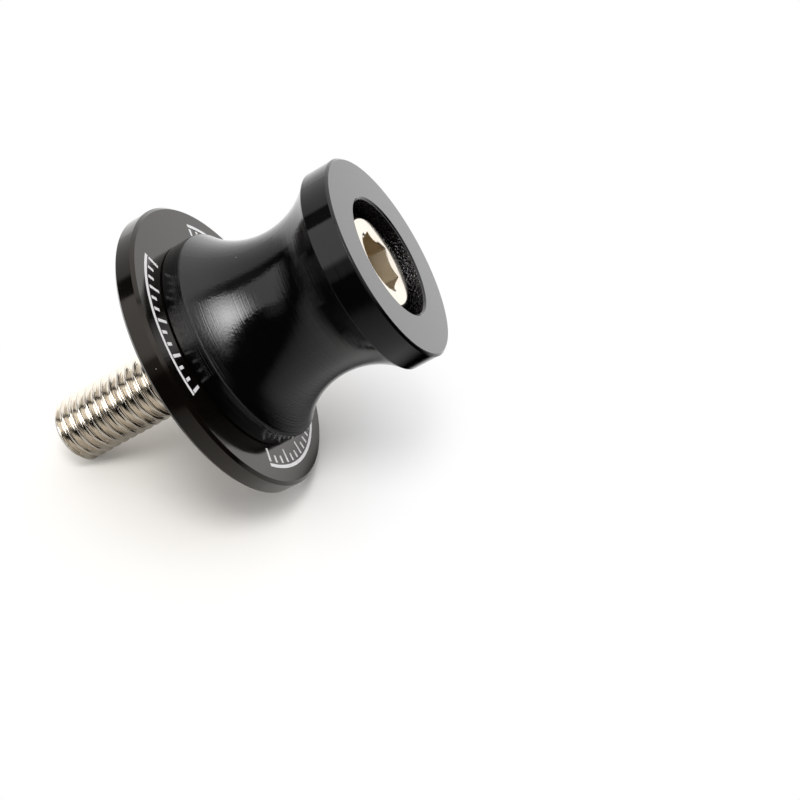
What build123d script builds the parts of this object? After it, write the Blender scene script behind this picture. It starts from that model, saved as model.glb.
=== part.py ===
from build123d import *
import os
from math import ceil, cos, pi, radians, sqrt, tan

# Swingarm spool for a motorbike: a turned bobbin that a paddock stand's hook lifts by its waist,
# a wide disc that keeps the hook off the swingarm, and the socket head screw that holds both.
# X runs along the screw towards its head, and the origin is the centre of the mounting face.

# Wide disc, mm
disc_d = 44.0
disc_t = 3.3
disc_edge = 0.45

# Spool, mm. Its length is measured from the mounting face to the head end.
spool_length = 30.2
rim_d = 30.4
rim_w = 4.25
rim_edge = 0.35
collar_d = 31.9
collar_w = 3.05
collar_edge = 0.2
waist_d = 22.6
waist_edge = 0.2

# Spigot that centres the disc on the spool, mm
spigot_d = 20.0
spigot_short = 0.2
spigot_fit = 0.05
spigot_edge = 0.3

# Screw: an M10 socket head screw with a narrow head and a rolled thread, so the plain shank is thinner,
# mm and degrees
thread_d = 10.0
thread_pitch = 1.5
thread_depth = 0.92
thread_flank = 30.0
thread_length = 26.0
thread_run_out = 1.0
shank_d = 9.03
screw_length = 45.0
head_d = 14.0
head_h = 10.0
head_round = 0.6
neck_round = 0.4

# Hexagon socket in the head, mm and degrees
key_size = 8.0
key_depth = 5.0
key_lead_in = 0.75
key_lead_in_angle = 120.0
key_drill = 1.2
key_turn = 19.0

# Bore and counterbore, mm
bore_play = 0.25
counterbore_d = 17.7
counterbore_edge = 0.3
head_sunk = 1.4

# Overlap that carries a cutting tool past a face or past the thread's outside, and how close an edge has
# to be to be picked, mm
past = 1.0
thread_past = 0.1
pick = 1e-3

# Places along X and radii that follow from the sizes above
shoulder_x = disc_t
collar_x = shoulder_x + collar_w
rim_x = spool_length - rim_w
head_top_x = spool_length - head_sunk
seat_x = head_top_x - head_h
tip_x = seat_x - screw_length
thread_end_x = tip_x + thread_length
thread_crest = thread_pitch / 8
thread_lead = 1.25 * thread_pitch
thread_turns = ceil((thread_length + thread_lead) / thread_pitch)
bore_r = thread_d / 2 + bore_play
bore_edge = neck_round


def rod(radius, start_x, end_x):
    """Plain cylinder about the X axis, from one place to another."""
    upright = Cylinder(radius, end_x - start_x, align=(Align.CENTER, Align.CENTER, Align.MIN))
    return Pos(start_x, 0, 0) * Rot(0, 90, 0) * upright


def taper(start_radius, end_radius, start_x, end_x):
    """Cone about the X axis, from one place and radius to another."""
    upright = Cone(start_radius, end_radius, end_x - start_x, align=(Align.CENTER, Align.CENTER, Align.MIN))
    return Pos(start_x, 0, 0) * Rot(0, 90, 0) * upright


def edges_at(solid, x, radius):
    """Round edges about the X axis at one place and radius."""
    rings = solid.edges().filter_by(GeomType.CIRCLE)
    return rings.filter_by(lambda edge: abs(edge.arc_center.X - x) < pick and abs(edge.radius - radius) < pick)


def waist_bottom_x():
    """Where the waist is narrowest: one arc runs from the collar's edge to the rim's edge and touches
    the waist's radius there. Each end's rise h and run u give the same radius, (u*u + h*h) / 2h."""
    run = rim_x - collar_x
    collar_rise = (collar_d - waist_d) / 2
    rim_rise = (rim_d - waist_d) / 2
    a = collar_rise - rim_rise
    b = 2 * collar_rise * run
    c = collar_rise * (run**2 - rim_rise * a)
    return collar_x + 2 * c / (b + sqrt(b**2 - 4 * a * c))


def spool_outline():
    """Half section of the spool's outside, from the axis at the spigot's end to the head end."""
    outside = Polyline(
        (spigot_short, 0),
        (spigot_short, spigot_d / 2),
        (shoulder_x, spigot_d / 2),
        (shoulder_x, collar_d / 2),
        (collar_x, collar_d / 2),
    )
    waist = ThreePointArc((collar_x, collar_d / 2), (waist_bottom_x(), waist_d / 2), (rim_x, rim_d / 2))
    head_end = Polyline((rim_x, rim_d / 2), (spool_length, rim_d / 2), (spool_length, 0), (spigot_short, 0))
    return make_face([outside, waist, head_end])


def spool_body():
    """Turned bobbin: spigot, collar, waist and rim, bored for the screw and counterbored for its head."""
    body = revolve(Plane.XZ * spool_outline(), axis=Axis.X)
    body = body - rod(bore_r, spigot_short - past, spool_length)
    body = body - rod(counterbore_d / 2, seat_x, spool_length + past)
    body = chamfer(edges_at(body, spool_length, rim_d / 2), rim_edge)
    body = chamfer(edges_at(body, spool_length, counterbore_d / 2), counterbore_edge)
    body = chamfer(edges_at(body, seat_x, bore_r), bore_edge)
    body = chamfer(edges_at(body, shoulder_x, collar_d / 2), collar_edge)
    body = chamfer(edges_at(body, spigot_short, spigot_d / 2), spigot_edge)
    body = fillet(edges_at(body, collar_x, collar_d / 2), waist_edge)
    return fillet(edges_at(body, rim_x, rim_d / 2), waist_edge)


def flange_disc():
    """Wide disc: a flat ring on the spool's spigot, against the collar's shoulder."""
    disc = rod(disc_d / 2, 0, disc_t) - rod(spigot_d / 2 + spigot_fit, -past, disc_t + past)
    outer = edges_at(disc, 0, disc_d / 2) + edges_at(disc, disc_t, disc_d / 2)
    return chamfer(outer, disc_edge)


def key_socket():
    """Space that the hexagon key enters: a lead-in cone, the six flats and the drill's point."""
    corner_r = key_size / 2 / cos(pi / 6)
    floor_x = head_top_x - key_depth
    hexagon = extrude(RegularPolygon(corner_r, 6, rotation=key_turn), key_depth + past)
    flats = Pos(floor_x, 0, 0) * Rot(0, 90, 0) * hexagon
    lead_in_r = key_size / 2 + key_lead_in
    lead_in_depth = key_lead_in / tan(radians(key_lead_in_angle / 2))
    lead_in = taper(key_size / 2, lead_in_r, head_top_x - lead_in_depth, head_top_x)
    drill_point = taper(0, key_size / 2, floor_x - key_drill, floor_x)
    return flats + lead_in + drill_point


def groove_turn():
    """One right-hand turn of the space between the thread's crests: a flat root, and flanks that lean by
    the flank angle and end just past the thread's outside. The turn starts straight above the origin."""
    top_z = thread_d / 2 + thread_past
    root_z = thread_d / 2 - thread_depth
    lean = tan(radians(thread_flank))
    half_top = (thread_pitch - thread_crest) / 2 + thread_past * lean
    half_root = half_top - (top_z - root_z) * lean
    section = Polygon((-half_root, root_z), (half_root, root_z), (half_top, top_z), (-half_top, top_z), align=None)
    helix = Edge.make_helix(thread_pitch, thread_pitch, thread_d / 2, normal=(1, 0, 0))
    return sweep(Plane.XZ * section, path=helix, is_frenet=True)


def thread_grooves():
    """The whole groove, turn by turn. It starts before the tip, where a crest meets the tip beside the axis,
    and ends under the collar in the run-out."""
    start_x = tip_x - thread_lead
    turn = groove_turn()
    return [Pos(start_x + number * thread_pitch, 0, 0) * turn for number in range(thread_turns)]


def cap_screw():
    """Socket head screw on its seat in the counterbore, with its thread's groove cut out of the stem."""
    head = rod(head_d / 2, seat_x, head_top_x)
    head = fillet(edges_at(head, head_top_x, head_d / 2), head_round)
    screw = fillet(edges_at(head + rod(shank_d / 2, thread_end_x, seat_x), seat_x, shank_d / 2), neck_round)
    thread = rod(thread_d / 2, tip_x, thread_end_x)
    thread = chamfer(edges_at(thread, tip_x, thread_d / 2), thread_depth)
    run_out = taper(thread_d / 2, shank_d / 2, thread_end_x, thread_end_x + thread_run_out)
    return screw + run_out + thread - key_socket() - thread_grooves()


os.makedirs("parts", exist_ok=True)
pieces = {"spool_body": spool_body(), "flange_disc": flange_disc(), "cap_screw": cap_screw()}
for name, piece in pieces.items():
    export_step(piece, f"parts/{name}.step")
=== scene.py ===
import math

import bmesh
import bpy
import numpy as np
from mathutils import Matrix, Vector


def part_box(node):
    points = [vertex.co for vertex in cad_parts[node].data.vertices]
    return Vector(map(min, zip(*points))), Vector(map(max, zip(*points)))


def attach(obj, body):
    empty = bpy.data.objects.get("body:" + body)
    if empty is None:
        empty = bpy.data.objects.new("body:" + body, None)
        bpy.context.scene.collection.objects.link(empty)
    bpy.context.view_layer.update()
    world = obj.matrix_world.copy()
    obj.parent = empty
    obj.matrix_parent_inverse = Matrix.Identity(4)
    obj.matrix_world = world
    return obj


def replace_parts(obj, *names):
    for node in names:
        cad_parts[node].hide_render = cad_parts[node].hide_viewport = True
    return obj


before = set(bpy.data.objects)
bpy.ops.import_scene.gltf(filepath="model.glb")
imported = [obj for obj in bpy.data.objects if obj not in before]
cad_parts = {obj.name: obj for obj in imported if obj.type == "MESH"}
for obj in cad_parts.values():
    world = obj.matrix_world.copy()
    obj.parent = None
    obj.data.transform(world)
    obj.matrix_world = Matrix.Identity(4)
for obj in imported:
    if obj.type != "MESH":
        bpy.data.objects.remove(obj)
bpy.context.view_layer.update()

# Looks for a motorbike swingarm spool: a black turned bobbin and a wide black disc on a bright cap screw.
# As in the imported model, X runs along the screw towards its head and the origin is the centre of the
# mounting face. The spool lies on its disc's edge and its screw's tip, so the floor is tilted in this frame.

MM = 0.001
TAU = 2 * math.pi

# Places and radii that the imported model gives
disc_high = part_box("flange_disc")[1]
screw_low, screw_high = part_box("cap_screw")
spool_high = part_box("spool_body")[1]
DISC_FACE_X = disc_high.x
TIP_X = screw_low.x
HEAD_TOP_X = screw_high.x
HEAD_R = screw_high.y
HEAD_END_X = spool_high.x

# Disc, and the places and radii on the bobbin where its finish changes
DISC_R = 22.0 * MM
DISC_EDGE = 0.45 * MM
COLLAR_END_X = 6.35 * MM
COLLAR_R = 15.95 * MM
RIM_START_X = 25.95 * MM
RIM_R = 15.2 * MM
COUNTERBORE_R = 8.85 * MM

# Screw: an M10 with a coarse rolled thread
PITCH = 1.5 * MM
THREAD_R = 5.0 * MM
THREAD_DEPTH = 0.92 * MM
THREAD_LENGTH = 26.0 * MM
RUN_OUT = 1.0 * MM
FLANK_ANGLE = math.radians(30)
CREST_FLAT = PITCH / 8
CREST_ROUND = CREST_FLAT / 2 / math.tan(FLANK_ANGLE)
ROOT_ROUND = 0.217 * MM
THREAD_END_X = TIP_X + THREAD_LENGTH
SHANK_START_X = THREAD_END_X + RUN_OUT
SHANK_R = 4.515 * MM
HEAD_HEIGHT = 10.0 * MM
HEAD_ROUND = 0.6 * MM
NECK_ROUND = 0.4 * MM

# Hexagon socket
KEY_SIZE = 8.0 * MM
KEY_DEPTH = 5.0 * MM
KEY_LEAD_IN = 0.75 * MM
KEY_LEAD_IN_SLOPE = math.tan(math.radians(60))
KEY_MOUTH_R = KEY_SIZE / 2 + KEY_LEAD_IN
KEY_DRILL = 1.2 * MM
KEY_CORNER = math.radians(-71)

# Printed scale on the disc: three equal groups, each an arc with short and long strokes inside it
SCALE_GROUPS = (math.radians(8), math.radians(128), math.radians(248))
SCALE_SPAN = math.radians(66)
SCALE_STEPS = 12
SCALE_LONG_EVERY = 3
SCALE_OUTER_R = 19.5 * MM
SCALE_LINE = 0.5 * MM
SCALE_GAP = 0.3 * MM
SCALE_SHORT = 1.1 * MM
SCALE_LONG = 2.0 * MM
PAINT_PROUD = 0.03 * MM
PAINT_SUNK = 0.01 * MM

# Meshes: the distance below which points are merged, how far an extra row stands from a sharp edge, the
# columns round the screw, the rows in half a pitch of the thread, and the angle between a stroke's rows
MERGE = 0.2e-3 * MM
EDGE_ROW = 0.1 * MM
SCREW_COLUMNS = 144
HALF_PITCH_ROWS = (0, 0.03, 0.055, 0.075, 0.09, 0.1, 0.16, 0.24, 0.32, 0.375, 0.41, 0.455)
STROKE_STEP = math.radians(1.5)

# Finishes: colours in linear light, noises per metre, bumps in metres, and what each place adds to the
# roughness. The collar's edge takes its dullness as a share of the dust's.
NOISE_RANGE = (0.3, 0.7)
WIDE_LINES = 0.15
DYE_IOR = 1.5
BLACK_DYE = 0.0015
BLACK_DUST = 0.25
BLACK_ROUGHNESS = (0.1, 0.13)
BLACK_BUMP = 20e-3 * MM
DUST_DULLNESS = 0.45
COLLAR_EDGE_SHARE = 1.3
RECESS_DULLNESS = 0.04
RIM_GLOSS = 0.06
END_COAT = 0.42
END_COAT_ROUGHNESS = 0.12
GRAIN_NOISE = 2800.0
GRAIN_HEIGHT = 0.8
RECESS_GRAIN_HEIGHT = 12.0
BROWN_DYE_DARK = (0.002, 0.0016, 0.0012, 1.0)
BROWN_DYE_PALE = (0.004, 0.003, 0.0022, 1.0)
BROWN_DUST = (0.3, 0.28, 0.25, 1.0)
BROWN_TINT = (1.0, 0.92, 0.82, 1.0)
BROWN_ROUGHNESS = (0.08, 0.12)
BROWN_NOISE = 180.0
BROWN_BUMP = 2e-3 * MM
NICKEL_DARK = (0.77, 0.7, 0.6, 1.0)
NICKEL_PALE = (0.86, 0.8, 0.71, 1.0)
NICKEL_SOCKET = (0.5, 0.42, 0.3, 1.0)
NICKEL_ROUGHNESS = (0.06, 0.12)
NICKEL_NOISE = 900.0
NICKEL_BUMP = 60e-3 * MM
SOCKET_DULLNESS = 0.38
THREAD_DULLNESS = 0.05
PAINT_DARK = 0.78
PAINT_PALE = 0.9
PAINT_NOISE = 2500.0
PAINT_ROUGHNESS = 0.5

# Floor: the object lies on the disc's edge and on the corner behind the screw's tip, which gives its lean
# and the floor's height. The bench's frame is level with the floor, and its forward leads away from the
# camera.
TIP_CORNER = 25.28 * MM
LEAN = math.atan((DISC_R - THREAD_R) / (TIP_CORNER + DISC_EDGE))
FLOOR_HEIGHT = -18.107 * MM
FLOOR_SIZE = 6.0
BENCH_RIGHT = Vector((math.cos(LEAN), 0, -math.sin(LEAN)))
BENCH_FORWARD = Vector((0, 1, 0))
BENCH_UP = Vector((math.sin(LEAN), 0, math.cos(LEAN)))
FLOOR_MIDDLE = BENCH_UP * FLOOR_HEIGHT

# What reflections find on the floor, which is painted shade: its brightest level, and the places between
# which it goes from dark to lit. Four numbers are two distances and the levels there.
FADE_LENGTH = 72 * MM
FADE_AXIS = (BENCH_FORWARD - 0.3 * BENCH_RIGHT) / FADE_LENGTH
FADE_TOP = 1.25
DARK_RIGHT = (30 * MM, 10 * MM)
LIT_BEHIND = (0.0, 10 * MM)
DARK_LEFT = (-250 * MM, -120 * MM)
LIT_FAR_LEFT = (50 * MM, 150 * MM)
DARK_NEAR = (-170 * MM, -120 * MM)
# Painted shade round the screw's tip, on the floor as reflections find it
TIP_PAINTED_SHADE_MIDDLE = FLOOR_MIDDLE - BENCH_RIGHT * 20 * MM
TIP_PAINTED_SHADE = (8 * MM, 32 * MM, 0.5, 1.0)

# What the camera sees of the floor: paper near the object, warmer on the left from painted bounce light,
# and plain white further off
PLAIN_FLOOR = (21 * MM, 50 * MM)
PAINTED_BOUNCE_SIDE = (30 * MM, 0.0)
PAPER_PLAIN = 0.97
PAPER_PAINTED_BOUNCE = (0.98, 0.955, 0.91, 1.0)

# Studio that reflections find: azimuths and elevations in degrees, levels of light, and the shares along an
# axis between which a form starts or ends. Four numbers are two shares and the levels there.
SOFT_LIGHT = 0.45
SOFT_SHARE = 0.6
GAP_FAR_CUT = (4, 12.3)
GAP_FAR_RANGE = (0.37, 0.44)
GAP_NEAR_CUT = (-15.1, 30.5)
GAP_NEAR_RANGE = (0.55, 0.537)
BACKDROP = (-1.0, 0.0, 0.4, 1.2)
HORIZON = (0.8, 1.0, 0.0, 0.25)
DIFFUSER_NEAR_END = (-0.66, -0.58)
DIFFUSER_RIGHT_END = (0.6, 0.54)
DIFFUSER_LOW_END = (0.2, 0.35)
DIFFUSER_LEVEL = 1.15
LAMP_DIRECTION = (180, 66)
LAMP_GLOW = (0.0, 0.37, 13.5, 0.0)
GLOW_RIGHT = (-0.35, 0.05, 0.0, 0.45)
GLOW_HIGH = (0.3, 0.85, 0.0, 0.12)
GLOW_NEAR_END = (-0.2, 0.1)
GLOW_LOW_END = (0.1, 0.3)
RIGHT_PANEL_DIRECTION = (88, 32)
RIGHT_PANEL = (0.9, 0.97, 0.0, 0.9)
LOW_LIGHT_DIRECTION = (-137, 22)
LOW_LIGHT = (0.972, 0.99, 0.0, 0.25)

# Camera fitted to the photograph, in the model's frame
CAMERA_PLACE = Vector((93.170, -177.675, 96.259)) * MM
CAMERA_RIGHT = Vector((0.83750, -0.00664, -0.54639))
CAMERA_UP = Vector((0.43253, 0.61912, 0.65545))
CAMERA_LENS = 69.44
CAMERA_SENSOR = 36.0
CAMERA_CLIP_START = 0.005
CAMERA_CLIP_END = 20.0


# Pieces

def add_piece(name, vertices, faces, material, body, sharp_angle):
    """Mesh object at the origin: doubles merged, faces turned outwards, smooth but for its sharp edges."""
    mesh = bpy.data.meshes.new(name)
    mesh.from_pydata(vertices.tolist(), [], faces.tolist())
    work = bmesh.new()
    work.from_mesh(mesh)
    bmesh.ops.remove_doubles(work, verts=work.verts, dist=MERGE)
    bmesh.ops.dissolve_degenerate(work, edges=work.edges, dist=MERGE)
    bmesh.ops.recalc_face_normals(work, faces=work.faces)
    work.to_mesh(mesh)
    work.free()
    mesh.shade_smooth()
    mesh.set_sharp_from_angle(angle=sharp_angle)
    mesh.materials.append(material)
    piece = bpy.data.objects.new(name, mesh)
    bpy.context.scene.collection.objects.link(piece)
    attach(piece, body)
    return piece


def ring_points(x, radius, angles):
    """Points about the X axis: row by row, at (x, radius cos, radius sin) of each angle."""
    x, radius, angles = np.broadcast_arrays(x, radius, angles)
    points = np.stack([x, radius * np.cos(angles), radius * np.sin(angles)], axis=-1)
    return points.reshape(-1, 3)


def ring_faces(rows, columns, seam_step=0, first=0):
    """Quads between neighbouring rows. Across the seam a row meets the one that lies seam_step further."""
    row, column = np.meshgrid(np.arange(rows - 1 - seam_step), np.arange(columns), indexing="ij")
    after = (column + 1) % columns
    lifted = np.where(after == 0, row + seam_step, row)
    quads = [
        row * columns + column,
        (row + 1) * columns + column,
        (lifted + 1) * columns + after,
        lifted * columns + after,
    ]
    return first + np.stack(quads, axis=-1).reshape(-1, 4)


def arc(centre_x, centre_r, radius, from_degrees, to_degrees, steps):
    """Round stretch of an outline, as (x, r) rows: angle 0 points along X and 90 away from the axis."""
    turn = np.radians(np.linspace(from_degrees, to_degrees, steps))
    return np.column_stack([centre_x + radius * np.cos(turn), centre_r + radius * np.sin(turn)])


def thread_radius(along):
    """Radius at a distance from the middle of a crest: an arc at the crest, a flank at 30 degrees to a
    plane square to the axis, and an arc at the root. Both arcs touch the flanks."""
    away = np.abs((along / PITCH + 0.5) % 1 - 0.5) * PITCH
    sharp_depth = (PITCH - CREST_FLAT) / 2 / math.tan(FLANK_ANGLE)
    flank = (away - CREST_FLAT / 2) / math.tan(FLANK_ANGLE)
    crest_fall = CREST_ROUND - np.sqrt(np.clip(CREST_ROUND**2 - away**2, 0, None))
    depth = np.where(away < CREST_ROUND * math.cos(FLANK_ANGLE), crest_fall, flank)
    to_root = PITCH / 2 - away
    in_arc = to_root < ROOT_ROUND * math.cos(FLANK_ANGLE)
    arc_rise = np.sqrt(np.clip(ROOT_ROUND**2 - to_root**2, 0, None))
    return THREAD_R - np.where(in_arc, sharp_depth - 2 * ROOT_ROUND + arc_rise, depth)


def threaded_rows(columns):
    """Rows that follow the helix: row s lies at x = s + pitch * angle / turn, so each keeps one place on the
    thread's outline, and after a turn it meets the row one pitch further. Past either end of the thread the
    rows are held at that end, where they fall together."""
    half = np.array(HALF_PITCH_ROWS)
    one_pitch = np.sort(np.concatenate([half, 1 - half[:0:-1], [0.5]]))
    pitches = math.ceil((SHANK_START_X - TIP_X) / PITCH) + 2
    starts = TIP_X - PITCH + PITCH * (np.arange(pitches)[:, None] + one_pitch).reshape(-1)
    angles = np.linspace(0, TAU, columns, endpoint=False)
    x = np.clip(starts[:, None] + PITCH * angles / TAU, TIP_X, SHANK_START_X)
    along = x - TIP_X - PITCH * angles / TAU
    fade = np.clip((x - TIP_X - THREAD_LENGTH) / RUN_OUT, 0, 1)
    radius = thread_radius(along) * (1 - fade) + SHANK_R * fade
    radius = np.minimum(radius, THREAD_R - THREAD_DEPTH + x - TIP_X)
    return ring_points(x, radius, angles), ring_faces(len(starts), columns, seam_step=len(one_pitch))


def head_outline():
    """The screw's outline from the thread's end to the socket's mouth, as (x, r) rows."""
    seat_x = HEAD_TOP_X - HEAD_HEIGHT
    start = [(SHANK_START_X, SHANK_R), (seat_x - 2 * NECK_ROUND, SHANK_R)]
    neck = arc(seat_x - NECK_ROUND, SHANK_R + NECK_ROUND, NECK_ROUND, -90, 0, 7)
    under = [(seat_x, HEAD_R - NECK_ROUND), (seat_x, HEAD_R), (seat_x + NECK_ROUND, HEAD_R)]
    side = [(HEAD_TOP_X - 2 * HEAD_ROUND, HEAD_R)]
    shoulder = arc(HEAD_TOP_X - HEAD_ROUND, HEAD_R - HEAD_ROUND, HEAD_ROUND, 90, 0, 13)
    top_radii = (HEAD_R - 1.4 * HEAD_ROUND, KEY_MOUTH_R + EDGE_ROW, KEY_MOUTH_R)
    top = [(HEAD_TOP_X, radius) for radius in top_radii]
    return np.vstack([start, neck, under, side, shoulder, top])


def socket_rows(angles):
    """The socket from its mouth to its middle. The flats' distance from the axis is half the key's size
    over the cosine of the angle from the nearest flat's middle, and the lead-in cone of 120 degrees meets
    them at a depth of how far they lie inside its mouth over the tangent of 60 degrees."""
    from_corner = (angles - KEY_CORNER) % (TAU / 6)
    flats = KEY_SIZE / 2 / np.cos(from_corner - TAU / 12)
    cone_x = HEAD_TOP_X - (KEY_MOUTH_R - flats) / KEY_LEAD_IN_SLOPE
    floor_x = HEAD_TOP_X - KEY_DEPTH
    middle = np.full_like(angles, floor_x - KEY_DRILL)
    rows = [(cone_x, flats), (cone_x - EDGE_ROW, flats)]
    rows += [(np.full_like(angles, floor_x + EDGE_ROW), flats), (np.full_like(angles, floor_x), flats)]
    for share in (1.0, 0.97, 0.7, 0.4, 0.0):
        rows.append((middle + (floor_x - middle) * share, np.full_like(angles, KEY_SIZE / 2 * share)))
    return np.array([row[0] for row in rows]), np.array([row[1] for row in rows])


def cap_screw(material):
    """The whole screw as one closed surface about the X axis: tip, thread, shank, head and socket."""
    columns = SCREW_COLUMNS
    angles = np.linspace(0, TAU, columns, endpoint=False)
    points, faces = threaded_rows(columns)
    outline = head_outline()
    outline_x = np.repeat(outline[:, :1], columns, axis=1)
    outline_r = np.repeat(outline[:, 1:], columns, axis=1)
    socket_x, socket_r = socket_rows(angles)
    body_x = np.vstack([outline_x, socket_x])
    body_r = np.vstack([outline_r, socket_r])
    tip_r = (THREAD_R - THREAD_DEPTH) * np.array([[0.0], [0.35], [0.7], [0.97], [1.0]])
    tip = ring_points(TIP_X, tip_r, angles)
    faces = np.vstack([
        faces,
        ring_faces(len(body_x), columns, first=len(points)),
        ring_faces(len(tip_r), columns, first=len(points) + body_x.size),
    ])
    points = np.vstack([points, ring_points(body_x, body_r, angles), tip])
    sharp_angle = math.radians(40)
    piece = add_piece("cap_screw_threaded", points, faces, material, "screw", sharp_angle)
    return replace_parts(piece, "cap_screw")


def stroke(inner_r, outer_r, from_angle, to_angle):
    """One flat stroke of paint, a little proud of the disc: a closed slab between two radii and two
    angles."""
    steps = max(2, math.ceil((to_angle - from_angle) / STROKE_STEP) + 1)
    angles = np.linspace(from_angle, to_angle, steps)
    low_x = DISC_FACE_X - PAINT_SUNK
    high_x = DISC_FACE_X + PAINT_PROUD
    section = np.array([(low_x, inner_r), (high_x, inner_r), (high_x, outer_r), (low_x, outer_r)])
    points = ring_points(section[None, :, 0], section[None, :, 1], angles[:, None])
    step, corner = np.meshgrid(np.arange(steps - 1), np.arange(4), indexing="ij")
    after = (corner + 1) % 4
    quads = [step * 4 + corner, step * 4 + after, (step + 1) * 4 + after, (step + 1) * 4 + corner]
    ends = np.array([[0, 1, 2, 3], [3, 2, 1, 0]]) + np.array([[0], [4 * (steps - 1)]])
    return points, np.vstack([np.stack(quads, axis=-1).reshape(-1, 4), ends])


def disc_scale(material):
    """Plain white scale in three groups: an arc near the disc's edge, and strokes that stand inside it."""
    strokes = []
    stroke_outer = SCALE_OUTER_R - SCALE_LINE - SCALE_GAP
    half_width = SCALE_LINE / 2 / stroke_outer
    for middle in SCALE_GROUPS:
        start = middle - SCALE_SPAN / 2
        low_angle = start - half_width
        high_angle = start + SCALE_SPAN + half_width
        strokes.append(stroke(SCALE_OUTER_R - SCALE_LINE, SCALE_OUTER_R, low_angle, high_angle))
        for step in range(SCALE_STEPS + 1):
            angle = start + SCALE_SPAN * step / SCALE_STEPS
            length = SCALE_LONG if step % SCALE_LONG_EVERY == 0 else SCALE_SHORT
            inner_r = stroke_outer - length
            strokes.append(stroke(inner_r, stroke_outer, angle - half_width, angle + half_width))
    firsts = np.cumsum([0] + [len(points) for points, faces in strokes])
    points = np.vstack([points for points, faces in strokes])
    faces = np.vstack([faces + first for (_, faces), first in zip(strokes, firsts)])
    sharp_angle = math.radians(30)
    return add_piece("disc_scale", points, faces, material, "spool", sharp_angle)


# Shader helpers

def put(tree, kind, **settings):
    """New node of a kind, with its own settings."""
    node = tree.nodes.new(kind)
    for key, value in settings.items():
        setattr(node, key, value)
    return node


def feed(tree, socket, value):
    """Links an output to a socket, or sets a plain value on it."""
    if isinstance(value, bpy.types.NodeSocket):
        tree.links.new(value, socket)
    else:
        socket.default_value = value


def calc(tree, operation, first, *others):
    """Output of a Math node. Each value after the second gets a further node of the same operation."""
    node = put(tree, "ShaderNodeMath", operation=operation)
    for socket, value in zip(node.inputs, (first, *others[:1])):
        feed(tree, socket, value)
    if len(others) > 1:
        return calc(tree, operation, node.outputs[0], *others[1:])
    return node.outputs[0]


def ramp(tree, value, from_low, from_high, to_low=0.0, to_high=1.0, kind="SMOOTHSTEP"):
    """Output of a Map Range node, held at its ends."""
    node = put(tree, "ShaderNodeMapRange", interpolation_type=kind, clamp=True)
    feed(tree, node.inputs["Value"], value)
    feed(tree, node.inputs["From Min"], from_low)
    feed(tree, node.inputs["From Max"], from_high)
    feed(tree, node.inputs["To Min"], to_low)
    feed(tree, node.inputs["To Max"], to_high)
    return node.outputs["Result"]


def blend_colour(tree, share, first, second):
    """Output of a colour Mix node."""
    node = put(tree, "ShaderNodeMix", data_type="RGBA", blend_type="MIX")
    feed(tree, node.inputs["Factor"], share)
    colour_sockets = [socket for socket in node.inputs if socket.type == "RGBA"]
    feed(tree, colour_sockets[0], first)
    feed(tree, colour_sockets[1], second)
    return [socket for socket in node.outputs if socket.type == "RGBA"][0]


def grey(value):
    """Opaque grey as a shader colour."""
    return (value, value, value, 1.0)


def object_place(tree):
    """The place on the piece, in the model's frame."""
    return put(tree, "ShaderNodeTexCoord").outputs["Object"]


def noise(tree, scale, detail=2.0):
    """Output of a noise in space that is fixed to the piece, from 0 to 1."""
    node = put(tree, "ShaderNodeTexNoise", noise_dimensions="3D")
    feed(tree, node.inputs["Vector"], object_place(tree))
    feed(tree, node.inputs["Scale"], scale)
    feed(tree, node.inputs["Detail"], detail)
    return node.outputs["Fac"]


def new_group(name, inputs, outputs):
    """Node group of named numbers: (tree, its input node's outputs, its output node's inputs)."""
    tree = bpy.data.node_groups.new(name, "ShaderNodeTree")
    for key, value in inputs.items():
        socket = tree.interface.new_socket(key, in_out="INPUT", socket_type="NodeSocketFloat")
        socket.default_value = value
    for key in outputs:
        tree.interface.new_socket(key, in_out="OUTPUT", socket_type="NodeSocketFloat")
    return tree, put(tree, "NodeGroupInput").outputs, put(tree, "NodeGroupOutput").inputs


def use_group(tree, group, **values):
    """Places a group in a material, with its own values, and gives its outputs."""
    node = put(tree, "ShaderNodeGroup", node_tree=group)
    for key, value in values.items():
        feed(tree, node.inputs[key], value)
    return node.outputs


def along_and_radius(tree):
    """The place along the X axis and the distance from it."""
    apart = put(tree, "ShaderNodeSeparateXYZ")
    feed(tree, apart.inputs[0], object_place(tree))
    y_square = calc(tree, "POWER", apart.outputs["Y"], 2.0)
    z_square = calc(tree, "POWER", apart.outputs["Z"], 2.0)
    return apart.outputs["X"], calc(tree, "SQRT", calc(tree, "ADD", y_square, z_square))


def turning_lines_group():
    """Fine rings that a lathe leaves, and a wider noise of the same kind: both depend only on the place
    along the axis and on the radius."""
    tree, given, out = new_group("turning_lines", {"Spacing": 0.3 * MM, "Detail": 2.0}, ["Height", "Wide"])
    along, radius = along_and_radius(tree)
    ring = put(tree, "ShaderNodeCombineXYZ")
    feed(tree, ring.inputs["X"], calc(tree, "DIVIDE", along, given["Spacing"]))
    feed(tree, ring.inputs["Y"], calc(tree, "DIVIDE", radius, given["Spacing"]))
    fine = put(tree, "ShaderNodeTexNoise", noise_dimensions="2D")
    feed(tree, fine.inputs["Vector"], ring.outputs[0])
    feed(tree, fine.inputs["Detail"], given["Detail"])
    feed(tree, fine.inputs["Scale"], 1.0)
    wide = put(tree, "ShaderNodeTexNoise", noise_dimensions="2D")
    feed(tree, wide.inputs["Vector"], ring.outputs[0])
    feed(tree, wide.inputs["Scale"], WIDE_LINES)
    feed(tree, out["Height"], fine.outputs["Fac"])
    feed(tree, out["Wide"], wide.outputs["Fac"])
    return tree


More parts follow.
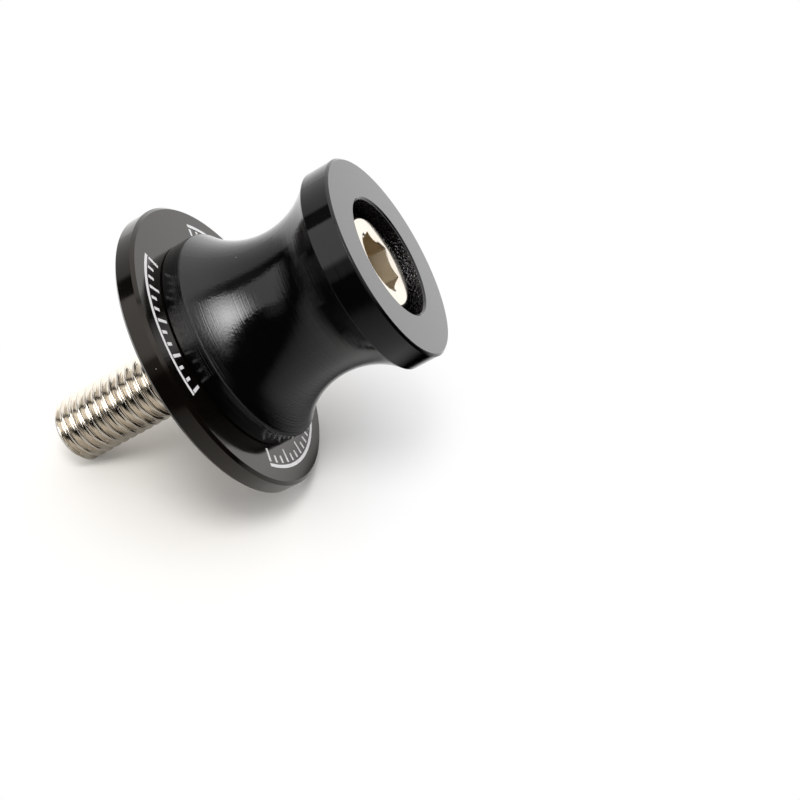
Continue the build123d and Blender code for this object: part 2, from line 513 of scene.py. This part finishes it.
def dust_group():
    """Sparse pale specks of dust: the middles of scattered cells, each kept or dropped by its own chance."""
    tree, given, out = new_group("dust_specks", {"Spacing": 2.0 * MM, "Size": 0.1, "Share": 0.1}, ["Mask"])
    cells = put(tree, "ShaderNodeTexVoronoi", voronoi_dimensions="3D", feature="F1")
    feed(tree, cells.inputs["Vector"], object_place(tree))
    feed(tree, cells.inputs["Scale"], calc(tree, "DIVIDE", 1.0, given["Spacing"]))
    chance = put(tree, "ShaderNodeSeparateColor")
    feed(tree, chance.inputs[0], cells.outputs["Color"])
    kept = calc(tree, "LESS_THAN", chance.outputs[0], given["Share"])
    size = calc(tree, "MULTIPLY", given["Size"], chance.outputs[1])
    spot = calc(tree, "LESS_THAN", cells.outputs["Distance"], size)
    feed(tree, out["Mask"], calc(tree, "MULTIPLY", kept, spot))
    return tree


def new_material(name):
    """Material with its own Principled shader."""
    material = bpy.data.materials.new(name)
    material.use_nodes = True
    return material, material.node_tree, material.node_tree.nodes["Principled BSDF"]


def add_bump(tree, shader, height, depth):
    """Bump from a height of 0 to 1 over a depth in metres."""
    bump = put(tree, "ShaderNodeBump")
    feed(tree, bump.inputs["Height"], height)
    feed(tree, bump.inputs["Distance"], depth)
    feed(tree, bump.inputs["Strength"], 1.0)
    feed(tree, shader.inputs["Normal"], bump.outputs[0])


def black_anodised(turning_lines, dust_specks):
    """The bobbin: glossy black dye over turned metal with a fine grain. The grain is strong in the recess
    round the screw's head. It is absent on the rim's side, which is smoother, and on the faced head end,
    which has a bright coat. The collar's edge is dull."""
    material, tree, shader = new_material("black_anodised_turned")
    lines = use_group(tree, turning_lines, Spacing=0.2 * MM, Detail=2.0)
    dust = use_group(tree, dust_specks, Spacing=1.6 * MM, Size=0.09, Share=0.05)
    along, radius = along_and_radius(tree)
    end_face = ramp(tree, along, HEAD_END_X - 0.08 * MM, HEAD_END_X - 0.03 * MM)
    recess = ramp(tree, radius, COUNTERBORE_R + 0.1 * MM, COUNTERBORE_R + 0.02 * MM)
    collar_end = ramp(tree, along, COLLAR_END_X - 0.15 * MM, COLLAR_END_X - 0.09 * MM)
    collar_top = ramp(tree, radius, COLLAR_R - 0.13 * MM, COLLAR_R - 0.08 * MM, 0.0, COLLAR_EDGE_SHARE)
    rim_along = ramp(tree, along, RIM_START_X, RIM_START_X + 0.15 * MM)
    rim_top = ramp(tree, radius, RIM_R - 0.15 * MM, RIM_R - 0.05 * MM)
    collar_edge = calc(tree, "MULTIPLY", collar_end, collar_top)
    rim_side = calc(tree, "MULTIPLY", rim_along, rim_top)

    colour = blend_colour(tree, dust["Mask"], grey(BLACK_DYE), grey(BLACK_DUST))
    feed(tree, shader.inputs["Base Color"], colour)
    rough = ramp(tree, lines["Wide"], *NOISE_RANGE, *BLACK_ROUGHNESS, kind="LINEAR")
    rough = calc(tree, "SUBTRACT", rough, calc(tree, "MULTIPLY", rim_side, RIM_GLOSS))
    dull = calc(tree, "MULTIPLY", calc(tree, "MAXIMUM", dust["Mask"], collar_edge), DUST_DULLNESS)
    dull = calc(tree, "ADD", dull, calc(tree, "MULTIPLY", recess, RECESS_DULLNESS))
    feed(tree, shader.inputs["Roughness"], calc(tree, "ADD", rough, dull))
    feed(tree, shader.inputs["IOR"], DYE_IOR)
    feed(tree, shader.inputs["Coat Weight"], calc(tree, "MULTIPLY", end_face, END_COAT))
    feed(tree, shader.inputs["Coat IOR"], DYE_IOR)
    feed(tree, shader.inputs["Coat Roughness"], END_COAT_ROUGHNESS)

    grainy = calc(tree, "SUBTRACT", 1.0, calc(tree, "MAXIMUM", rim_side, end_face))
    plain_height = calc(tree, "MULTIPLY", grainy, GRAIN_HEIGHT)
    recess_height = calc(tree, "MULTIPLY", recess, RECESS_GRAIN_HEIGHT)
    grain_height = calc(tree, "ADD", recess_height, plain_height)
    grain = calc(tree, "MULTIPLY", noise(tree, GRAIN_NOISE), grain_height)
    add_bump(tree, shader, calc(tree, "ADD", lines["Height"], grain), BLACK_BUMP)
    return material


def brown_black_anodised(turning_lines, dust_specks):
    """The disc: the same dye with a brown cast and faint clouds, and with shallower turning lines."""
    material, tree, shader = new_material("brown_black_anodised_turned")
    lines = use_group(tree, turning_lines, Spacing=0.22 * MM, Detail=2.0)
    dust = use_group(tree, dust_specks, Spacing=1.8 * MM, Size=0.1, Share=0.07)
    dye = blend_colour(tree, noise(tree, BROWN_NOISE), BROWN_DYE_DARK, BROWN_DYE_PALE)
    rough = ramp(tree, lines["Wide"], *NOISE_RANGE, *BROWN_ROUGHNESS, kind="LINEAR")
    feed(tree, shader.inputs["Base Color"], blend_colour(tree, dust["Mask"], dye, BROWN_DUST))
    feed(tree, shader.inputs["Roughness"], rough)
    feed(tree, shader.inputs["Specular Tint"], BROWN_TINT)
    feed(tree, shader.inputs["IOR"], DYE_IOR)
    add_bump(tree, shader, lines["Height"], BROWN_BUMP)
    return material


def nickel_plated(turning_lines):
    """The screw: warm bright nickel over rolled steel, with faint blotches. The thread is a little duller,
    with drawn lines, and the socket below its lead-in cone is duller and browner."""
    material, tree, shader = new_material("nickel_plated_steel")
    lines = use_group(tree, turning_lines, Spacing=0.3 * MM, Detail=1.0)
    cloudy = noise(tree, NICKEL_NOISE, detail=4.0)
    along, radius = along_and_radius(tree)
    cone_depth = calc(tree, "DIVIDE", calc(tree, "SUBTRACT", KEY_MOUTH_R, radius), KEY_LEAD_IN_SLOPE)
    below_cone = ramp(tree, calc(tree, "SUBTRACT", HEAD_TOP_X, along, cone_depth), 0.02 * MM, 0.06 * MM)
    inside = ramp(tree, radius, KEY_MOUTH_R + 0.05 * MM, KEY_MOUTH_R - 0.05 * MM)
    drill_x = HEAD_TOP_X - KEY_DEPTH - KEY_DRILL
    above_drill = ramp(tree, along, drill_x - 0.8 * MM, drill_x - 0.3 * MM)
    socket = calc(tree, "MULTIPLY", below_cone, inside, above_drill)
    thread = ramp(tree, along, SHANK_START_X, THREAD_END_X)

    tint = blend_colour(tree, cloudy, NICKEL_DARK, NICKEL_PALE)
    feed(tree, shader.inputs["Base Color"], blend_colour(tree, socket, tint, NICKEL_SOCKET))
    feed(tree, shader.inputs["Metallic"], 1.0)
    rough = ramp(tree, cloudy, *NOISE_RANGE, *NICKEL_ROUGHNESS, kind="LINEAR")
    socket_dull = calc(tree, "MULTIPLY", socket, SOCKET_DULLNESS)
    thread_dull = calc(tree, "MULTIPLY", thread, THREAD_DULLNESS)
    dull = calc(tree, "MAXIMUM", socket_dull, thread_dull)
    feed(tree, shader.inputs["Roughness"], calc(tree, "ADD", rough, dull))
    add_bump(tree, shader, calc(tree, "MULTIPLY", lines["Height"], thread), NICKEL_BUMP)
    return material


def white_paint():
    """The scale's printed white, a little uneven."""
    material, tree, shader = new_material("white_paint")
    colour = blend_colour(tree, noise(tree, PAINT_NOISE), grey(PAINT_DARK), grey(PAINT_PALE))
    feed(tree, shader.inputs["Base Color"], colour)
    feed(tree, shader.inputs["Roughness"], PAINT_ROUGHNESS)
    return material


# Stage

def dot(tree, direction, axis):
    """Output of a direction's share along an axis."""
    node = put(tree, "ShaderNodeVectorMath", operation="DOT_PRODUCT")
    feed(tree, node.inputs[0], direction)
    feed(tree, node.inputs[1], axis)
    return node.outputs["Value"]


def bench_direction(azimuth, elevation):
    """Unit vector: degrees from the camera's forward, to the right, and degrees above the floor."""
    turn, rise = math.radians(azimuth), math.radians(elevation)
    level = BENCH_RIGHT * math.sin(turn) + BENCH_FORWARD * math.cos(turn)
    return level * math.cos(rise) + BENCH_UP * math.sin(rise)


def studio_world():
    """White to the camera, a soft grey for shadows, and for reflections a studio: a backdrop that fades to
    the left and shines at the horizon, a dark gap with a faint glow on its right, a wide diffuser overhead
    with a lamp behind it, a panel on the right, and a weak light low on the left. Elsewhere it is black.
    The gap lies between two flat cuts through the sphere of directions."""
    world = bpy.data.worlds.new("studio")
    bpy.context.scene.world = world
    world.use_nodes = True
    world.cycles.sampling_method = "NONE"
    tree = world.node_tree
    direction = put(tree, "ShaderNodeTexCoord").outputs["Generated"]
    height = dot(tree, direction, BENCH_UP)
    right = dot(tree, direction, BENCH_RIGHT)
    forward = dot(tree, direction, BENCH_FORWARD)

    beyond_gap = ramp(tree, dot(tree, direction, bench_direction(*GAP_FAR_CUT)), *GAP_FAR_RANGE)
    before_gap = ramp(tree, dot(tree, direction, bench_direction(*GAP_NEAR_CUT)), *GAP_NEAR_RANGE)
    backdrop = ramp(tree, right, *BACKDROP, kind="LINEAR")
    backdrop = calc(tree, "ADD", backdrop, ramp(tree, forward, *HORIZON, kind="LINEAR"))
    backdrop = calc(tree, "MULTIPLY", backdrop, beyond_gap)
    near_end = ramp(tree, forward, *DIFFUSER_NEAR_END)
    near_end = calc(tree, "MULTIPLY", near_end, ramp(tree, right, *DIFFUSER_RIGHT_END))
    diffuser = calc(tree, "MULTIPLY", before_gap, near_end, ramp(tree, height, *DIFFUSER_LOW_END))
    from_lamp = calc(tree, "SUBTRACT", 1.0, dot(tree, direction, bench_direction(*LAMP_DIRECTION)))
    from_lamp = calc(tree, "SQRT", calc(tree, "MAXIMUM", from_lamp, 0.0))
    hot = ramp(tree, from_lamp, *LAMP_GLOW, kind="LINEAR")
    glow = calc(tree, "MAXIMUM", ramp(tree, right, *GLOW_RIGHT), ramp(tree, height, *GLOW_HIGH))
    glow = calc(tree, "MULTIPLY", glow, near_end, ramp(tree, forward, *GLOW_NEAR_END))
    glow = calc(tree, "MULTIPLY", glow, ramp(tree, height, *GLOW_LOW_END))
    right_panel = ramp(tree, dot(tree, direction, bench_direction(*RIGHT_PANEL_DIRECTION)), *RIGHT_PANEL)
    low_light = ramp(tree, dot(tree, direction, bench_direction(*LOW_LIGHT_DIRECTION)), *LOW_LIGHT)
    lit_diffuser = calc(tree, "MULTIPLY", diffuser, DIFFUSER_LEVEL)
    panels = calc(tree, "MAXIMUM", backdrop, glow, lit_diffuser, right_panel, low_light)

    soft = calc(tree, "ADD", SOFT_LIGHT, calc(tree, "MULTIPLY", panels, SOFT_SHARE))
    mirrored = calc(tree, "ADD", panels, calc(tree, "MULTIPLY", diffuser, hot))
    rays = put(tree, "ShaderNodeLightPath").outputs
    over_soft = calc(tree, "MULTIPLY", rays["Is Glossy Ray"], calc(tree, "SUBTRACT", mirrored, soft))
    strength = calc(tree, "ADD", soft, over_soft)
    clear = calc(tree, "MAXIMUM", rays["Is Camera Ray"], rays["Is Transmission Ray"])
    strength = calc(tree, "MULTIPLY", strength, calc(tree, "SUBTRACT", 1.0, clear))
    feed(tree, tree.nodes["Background"].inputs["Color"], grey(1.0))
    feed(tree, tree.nodes["Background"].inputs["Strength"], calc(tree, "ADD", strength, clear))


def floor_material():
    """White paper that takes the object's shadow near it and is plain white further off, with painted warm
    bounce light on its left. Reflections find painted shade on it: a painted falloff of light towards
    the camera, darker round the screw's tip, and black at the near end, on the right and far to the
    left. From below the camera looks through it."""
    material = bpy.data.materials.new("floor_paper")
    material.use_nodes = True
    material.cycles.emission_sampling = "NONE"
    tree = material.node_tree
    tree.nodes.clear()
    place = object_place(tree)
    right = dot(tree, place, BENCH_RIGHT)
    forward = dot(tree, place, BENCH_FORWARD)
    # Seen only in reflections, the paper's colour and glow are painted darker: a painted falloff of light
    # and painted shade
    painted_falloff = calc(tree, "MINIMUM", calc(tree, "EXPONENT", dot(tree, place, FADE_AXIS)), FADE_TOP)
    beside = ramp(tree, dot(tree, place, BENCH_RIGHT + BENCH_FORWARD), *DARK_RIGHT)
    beside = calc(tree, "MAXIMUM", beside, ramp(tree, forward, *LIT_BEHIND))
    left_end = calc(tree, "MAXIMUM", ramp(tree, right, *DARK_LEFT), ramp(tree, forward, *LIT_FAR_LEFT))
    near_end = ramp(tree, forward, *DARK_NEAR)
    # Painted shade on the floor round the screw's tip, seen only in reflections
    from_tip = put(tree, "ShaderNodeVectorMath", operation="DISTANCE")
    feed(tree, from_tip.inputs[0], place)
    feed(tree, from_tip.inputs[1], TIP_PAINTED_SHADE_MIDDLE)
    tip_painted_shade = ramp(tree, from_tip.outputs["Value"], *TIP_PAINTED_SHADE)
    reflected_painted_shade = calc(tree, "MULTIPLY", painted_falloff, near_end, beside, left_end, tip_painted_shade)
    rays = put(tree, "ShaderNodeLightPath").outputs
    change = calc(tree, "MULTIPLY", rays["Is Glossy Ray"], calc(tree, "SUBTRACT", reflected_painted_shade, 1.0))
    shade = calc(tree, "ADD", 1.0, change)

    level = put(tree, "ShaderNodeVectorMath", operation="LENGTH")
    feed(tree, level.inputs[0], place)
    # Painted warm bounce light on the paper's left side
    white = blend_colour(tree, ramp(tree, right, *PAINTED_BOUNCE_SIDE), grey(PAPER_PLAIN), PAPER_PAINTED_BOUNCE)
    paper = put(tree, "ShaderNodeBsdfDiffuse")
    feed(tree, paper.inputs["Color"], blend_colour(tree, shade, grey(0.0), white))
    plain = put(tree, "ShaderNodeEmission")
    feed(tree, plain.inputs["Color"], grey(1.0))
    feed(tree, plain.inputs["Strength"], shade)
    mixed = put(tree, "ShaderNodeMixShader")
    feed(tree, mixed.inputs[0], ramp(tree, level.outputs["Value"], *PLAIN_FLOOR))
    feed(tree, mixed.inputs[1], paper.outputs[0])
    feed(tree, mixed.inputs[2], plain.outputs[0])
    backfacing = put(tree, "ShaderNodeNewGeometry").outputs["Backfacing"]
    see_through = put(tree, "ShaderNodeMixShader")
    feed(tree, see_through.inputs[0], calc(tree, "MULTIPLY", backfacing, rays["Is Camera Ray"]))
    feed(tree, see_through.inputs[1], mixed.outputs[0])
    feed(tree, see_through.inputs[2], put(tree, "ShaderNodeBsdfTransparent").outputs[0])
    feed(tree, put(tree, "ShaderNodeOutputMaterial").inputs["Surface"], see_through.outputs[0])
    return material


def floor():
    """Square of paper under the object, level in the bench's frame."""
    mesh = bpy.data.meshes.new("floor")
    corners = []
    for right, forward in ((-1, -1), (1, -1), (1, 1), (-1, 1)):
        from_middle = (BENCH_RIGHT * right + BENCH_FORWARD * forward) * FLOOR_SIZE / 2
        corners.append(FLOOR_MIDDLE + from_middle)
    mesh.from_pydata(corners, [], [(0, 1, 2, 3)])
    mesh.materials.append(floor_material())
    sheet = bpy.data.objects.new("floor", mesh)
    bpy.context.scene.collection.objects.link(sheet)


def lamp(name, azimuth, elevation, distance, radius, radiance):
    """Round soft lamp that faces the object. Its power is the radiance times its area times pi."""
    light = bpy.data.lights.new(name, "AREA")
    light.shape = "DISK"
    light.size = 2 * radius
    light.energy = radiance * math.pi * math.pi * radius**2
    light.specular_factor = 0.0
    holder = bpy.data.objects.new(name, light)
    towards = bench_direction(azimuth, elevation)
    holder.rotation_mode = "QUATERNION"
    holder.rotation_quaternion = towards.to_track_quat("Z", "Y")
    holder.location = towards * distance
    holder.visible_glossy = False
    bpy.context.scene.collection.objects.link(holder)


def camera():
    """Camera at the photograph's place, from its right and up directions."""
    data = bpy.data.cameras.new("camera")
    data.lens = CAMERA_LENS
    data.sensor_width = CAMERA_SENSOR
    data.clip_start = CAMERA_CLIP_START
    data.clip_end = CAMERA_CLIP_END
    holder = bpy.data.objects.new("camera", data)
    right = CAMERA_RIGHT.normalized()
    back = right.cross(CAMERA_UP).normalized()
    up = back.cross(right)
    turn = Matrix((right, up, back)).transposed().to_4x4()
    holder.matrix_world = Matrix.Translation(CAMERA_PLACE) @ turn
    bpy.context.scene.collection.objects.link(holder)
    bpy.context.scene.camera = holder


turning_lines = turning_lines_group()
dust_specks = dust_group()
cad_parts["spool_body"].material_slots[0].material = black_anodised(turning_lines, dust_specks)
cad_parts["flange_disc"].material_slots[0].material = brown_black_anodised(turning_lines, dust_specks)
cap_screw(nickel_plated(turning_lines))
disc_scale(white_paint())
studio_world()
floor()
lamp("key_lamp", azimuth=180, elevation=68, distance=0.6, radius=0.12, radiance=9.0)
camera()
bpy.context.scene.view_settings.view_transform = "Standard"
